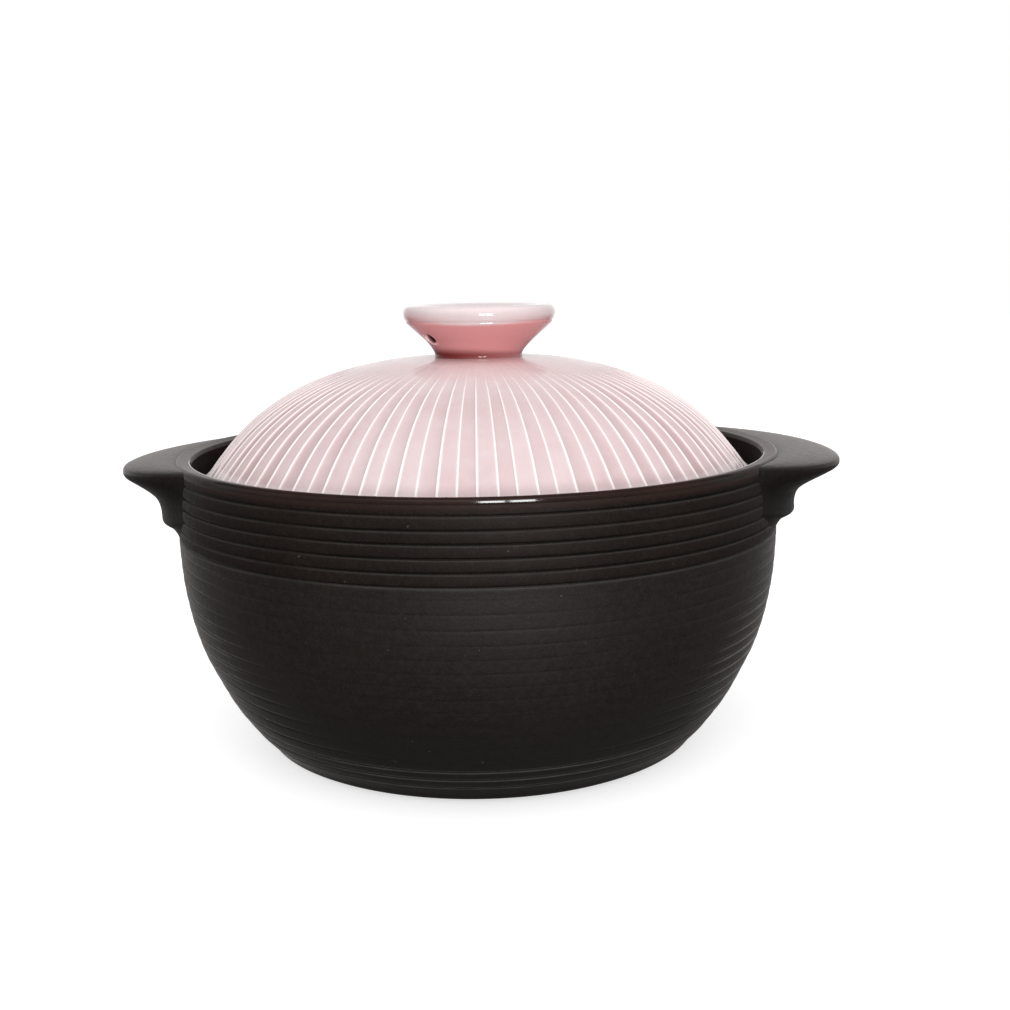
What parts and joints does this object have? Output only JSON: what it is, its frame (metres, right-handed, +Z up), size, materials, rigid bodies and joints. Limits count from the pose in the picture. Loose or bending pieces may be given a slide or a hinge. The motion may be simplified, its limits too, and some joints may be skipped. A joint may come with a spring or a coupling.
{
  "type": "clay pot",
  "caption": "Round ribbed stoneware cooking pot with wing handles at the rim and a loose fluted dome lid with a flared, vented knob.",
  "frame": {"origin": "centre of the foot ring, on the surface that the pot stands on", "axes": "+Z up along the bowl's axis, +X through the two handles, -Y towards the front"},
  "size_m": [0.2678, 0.2214, 0.1608],
  "materials": {
    "stoneware": "satin dark brown-black glaze",
    "lid_glaze": "gloss pale pink glaze"
  },
  "bodies": {
    "pot": {"pot_bowl": "stoneware", "handle_left": "stoneware", "handle_right": "stoneware"},
    "lid": {"lid_dome": "lid_glaze", "lid_knob": "lid_glaze"}
  },
  "joints": [
    {"name": "lid_lift", "type": "slide", "parent": "pot", "child": "lid", "axis": [0, 0, 1], "range_m": [0, 0.12]}
  ]
}
